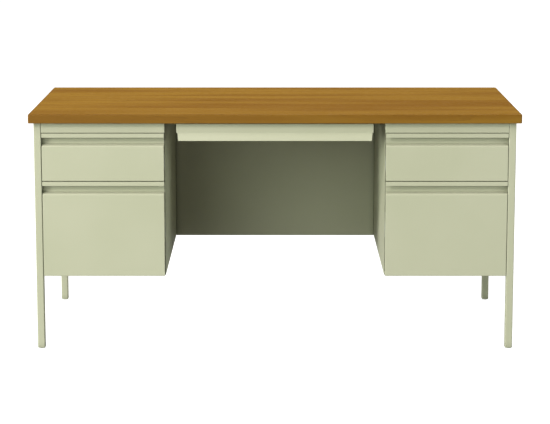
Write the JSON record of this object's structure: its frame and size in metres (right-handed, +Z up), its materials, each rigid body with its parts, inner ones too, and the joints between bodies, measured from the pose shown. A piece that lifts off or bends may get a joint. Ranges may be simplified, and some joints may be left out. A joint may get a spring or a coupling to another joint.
{
  "type": "teacher desk",
  "caption": "Steel teacher desk with a wood-grain laminate top, a box drawer over a file drawer in each pedestal, a shallow centre drawer and a modesty panel.",
  "frame": {"origin": "on the floor, under the middle of the worktop", "axes": "+Z up; the person at the desk sits at -Y and looks along +Y; +X to their right, along the worktop"},
  "size_m": [1.524, 0.762, 0.743],
  "materials": {
    "putty_paint": "satin powder coat, putty",
    "oak_laminate": "satin oak-grain laminate",
    "oak_edging": "satin oak-grain edge band, darker than the top",
    "particleboard": "raw board",
    "zinc_steel": "bright zinc plate",
    "black_plastic": "moulded, matte",
    "natural_nylon": "moulded nylon, undyed"
  },
  "bodies": {
    "desk": {"worktop_core": "particleboard", "worktop_laminate": "oak_laminate", "worktop_edge_band": "oak_edging", "worktop_backer": "particleboard", "modesty_panel": "putty_paint", "leg_front_left": "putty_paint", "leg_rear_left": "putty_paint", "leg_front_right": "putty_paint", "leg_rear_right": "putty_paint", "leg_insert_front_left": "natural_nylon", "leg_insert_rear_left": "natural_nylon", "leg_insert_front_right": "natural_nylon", "leg_insert_rear_right": "natural_nylon", "end_panel_left": "putty_paint", "inner_side_panel_left": "putty_paint", "pedestal_back_left": "putty_paint", "pedestal_floor_left": "putty_paint", "top_rail_left": "putty_paint", "centre_drawer_hanger_left": "zinc_steel", "slide_case_box_left_inner": "zinc_steel", "slide_case_box_left_outer": "zinc_steel", "slide_case_file_left_inner": "zinc_steel", "slide_case_file_left_outer": "zinc_steel", "end_panel_right": "putty_paint", "inner_side_panel_right": "putty_paint", "pedestal_back_right": "putty_paint", "pedestal_floor_right": "putty_paint", "top_rail_right": "putty_paint", "centre_drawer_hanger_right": "zinc_steel", "slide_case_box_right_inner": "zinc_steel", "slide_case_box_right_outer": "zinc_steel", "slide_case_file_right_inner": "zinc_steel", "slide_case_file_right_outer": "zinc_steel"},
    "box_drawer_left": {"drawer_front_box_left": "putty_paint", "drawer_body_box_left": "putty_paint", "slide_runner_box_left_inner": "zinc_steel", "slide_runner_box_left_outer": "zinc_steel"},
    "file_drawer_left": {"drawer_front_file_left": "putty_paint", "drawer_body_file_left": "putty_paint", "slide_runner_file_left_inner": "zinc_steel", "slide_runner_file_left_outer": "zinc_steel"},
    "file_slide_middle_left": {"slide_middle_file_left_inner": "zinc_steel", "slide_middle_file_left_outer": "zinc_steel"},
    "box_drawer_right": {"drawer_front_box_right": "putty_paint", "drawer_body_box_right": "putty_paint", "slide_runner_box_right_inner": "zinc_steel", "slide_runner_box_right_outer": "zinc_steel"},
    "file_drawer_right": {"drawer_front_file_right": "putty_paint", "drawer_body_file_right": "putty_paint", "slide_runner_file_right_inner": "zinc_steel", "slide_runner_file_right_outer": "zinc_steel"},
    "file_slide_middle_right": {"slide_middle_file_right_inner": "zinc_steel", "slide_middle_file_right_outer": "zinc_steel"},
    "centre_drawer": {"drawer_front_centre": "putty_paint", "drawer_body_centre": "putty_paint", "pencil_tray": "black_plastic"},
    "glide_front_left": {"levelling_glide_front_left": "natural_nylon"},
    "glide_rear_left": {"levelling_glide_rear_left": "natural_nylon"},
    "glide_front_right": {"levelling_glide_front_right": "natural_nylon"},
    "glide_rear_right": {"levelling_glide_rear_right": "natural_nylon"}
  },
  "joints": [
    {"name": "box_drawer_left_slide", "type": "slide", "parent": "desk", "child": "box_drawer_left", "axis": [0, -1, 0], "range_m": [0, 0.48]},
    {"name": "file_drawer_left_slide", "type": "slide", "parent": "desk", "child": "file_drawer_left", "axis": [0, -1, 0], "range_m": [0, 0.66]},
    {"name": "file_slide_middle_left_slide", "type": "slide", "parent": "desk", "child": "file_slide_middle_left", "axis": [0, -1, 0], "range_m": [0, 0.33]},
    {"name": "box_drawer_right_slide", "type": "slide", "parent": "desk", "child": "box_drawer_right", "axis": [0, -1, 0], "range_m": [0, 0.48]},
    {"name": "file_drawer_right_slide", "type": "slide", "parent": "desk", "child": "file_drawer_right", "axis": [0, -1, 0], "range_m": [0, 0.66]},
    {"name": "file_slide_middle_right_slide", "type": "slide", "parent": "desk", "child": "file_slide_middle_right", "axis": [0, -1, 0], "range_m": [0, 0.33]},
    {"name": "centre_drawer_slide", "type": "slide", "parent": "desk", "child": "centre_drawer", "axis": [0, -1, 0], "range_m": [0, 0.36]},
    {"name": "glide_front_left_screw", "type": "hinge", "parent": "desk", "child": "glide_front_left", "pos_m": [-0.73525, -0.35125, 0], "axis": [0, 0, -1], "range_deg": [0, 1800]},
    {"name": "glide_rear_left_screw", "type": "hinge", "parent": "desk", "child": "glide_rear_left", "pos_m": [-0.73525, 0.36125, 0], "axis": [0, 0, -1], "range_deg": [0, 1800]},
    {"name": "glide_front_right_screw", "type": "hinge", "parent": "desk", "child": "glide_front_right", "pos_m": [0.73525, -0.35125, 0], "axis": [0, 0, -1], "range_deg": [0, 1800]},
    {"name": "glide_rear_right_screw", "type": "hinge", "parent": "desk", "child": "glide_rear_right", "pos_m": [0.73525, 0.36125, 0], "axis": [0, 0, -1], "range_deg": [0, 1800]}
  ],
  "couplings": [
    {"joint": "file_slide_middle_left_slide", "follows": "file_drawer_left_slide", "ratio": 0.5},
    {"joint": "file_slide_middle_right_slide", "follows": "file_drawer_right_slide", "ratio": 0.5}
  ]
}
